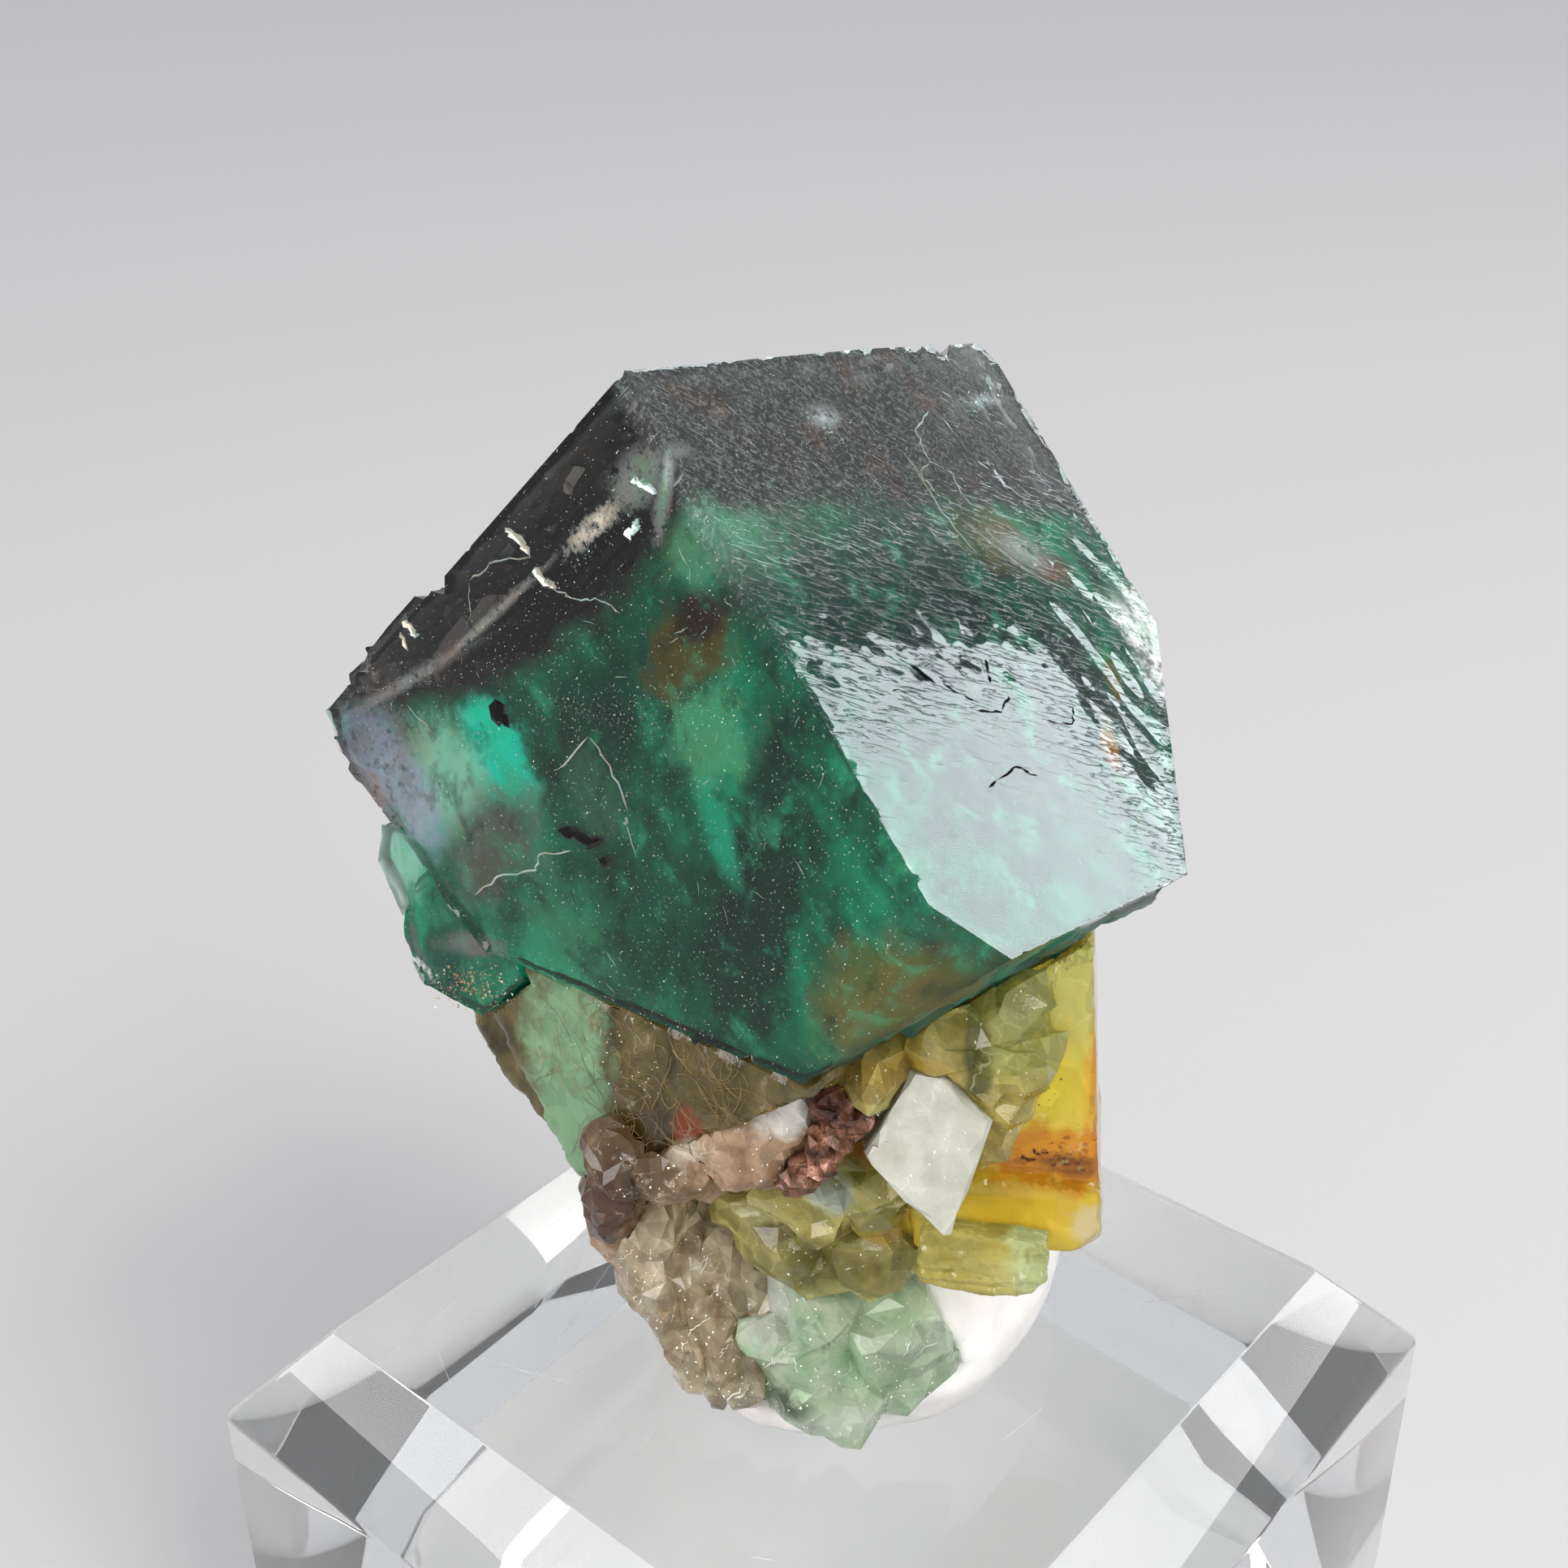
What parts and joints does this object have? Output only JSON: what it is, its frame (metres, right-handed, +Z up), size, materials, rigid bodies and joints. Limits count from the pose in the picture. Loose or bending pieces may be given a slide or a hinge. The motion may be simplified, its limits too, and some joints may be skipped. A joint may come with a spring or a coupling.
{
  "type": "fluorite specimen",
  "caption": "Green cubic fluorite crystal on a matrix of smaller fluorite, quartz and weathered pyrite, held by putty on a clear acrylic display block.",
  "frame": {"origin": "centre of the display block's underside", "axes": "+Z up; X and Y along the block's sides; the specimen's front faces the corner between +X and -Y, 41 degrees round from -Y"},
  "size_m": [0.0318, 0.0318, 0.0603],
  "materials": {
    "acrylic": "polished, clear",
    "putty": "satin",
    "green_fluorite": "glassy, translucent",
    "olive_fluorite": "glassy, translucent",
    "amber_fluorite": "glassy, translucent",
    "pale_fluorite": "glassy",
    "striped_fluorite": "glassy",
    "yellow_green_fluorite": "broken, waxy",
    "quartz": "broken, glassy",
    "pale_green_fluorite": "broken, glassy",
    "brown_quartz": "broken, waxy",
    "pyrite": "weathered, part metallic"
  },
  "bodies": {
    "root": {"acrylic_block": "acrylic", "mounting_putty": "putty", "green_fluorite": "green_fluorite", "olive_fluorite": "olive_fluorite", "amber_fluorite": "amber_fluorite", "pale_fluorite": "pale_fluorite", "striped_fluorite": "striped_fluorite", "yellow_green_fluorite": "yellow_green_fluorite", "quartz_mass": "quartz", "pale_green_fluorite": "pale_green_fluorite", "brown_quartz": "brown_quartz", "pyrite_cluster": "pyrite"}
  },
  "joints": []
}
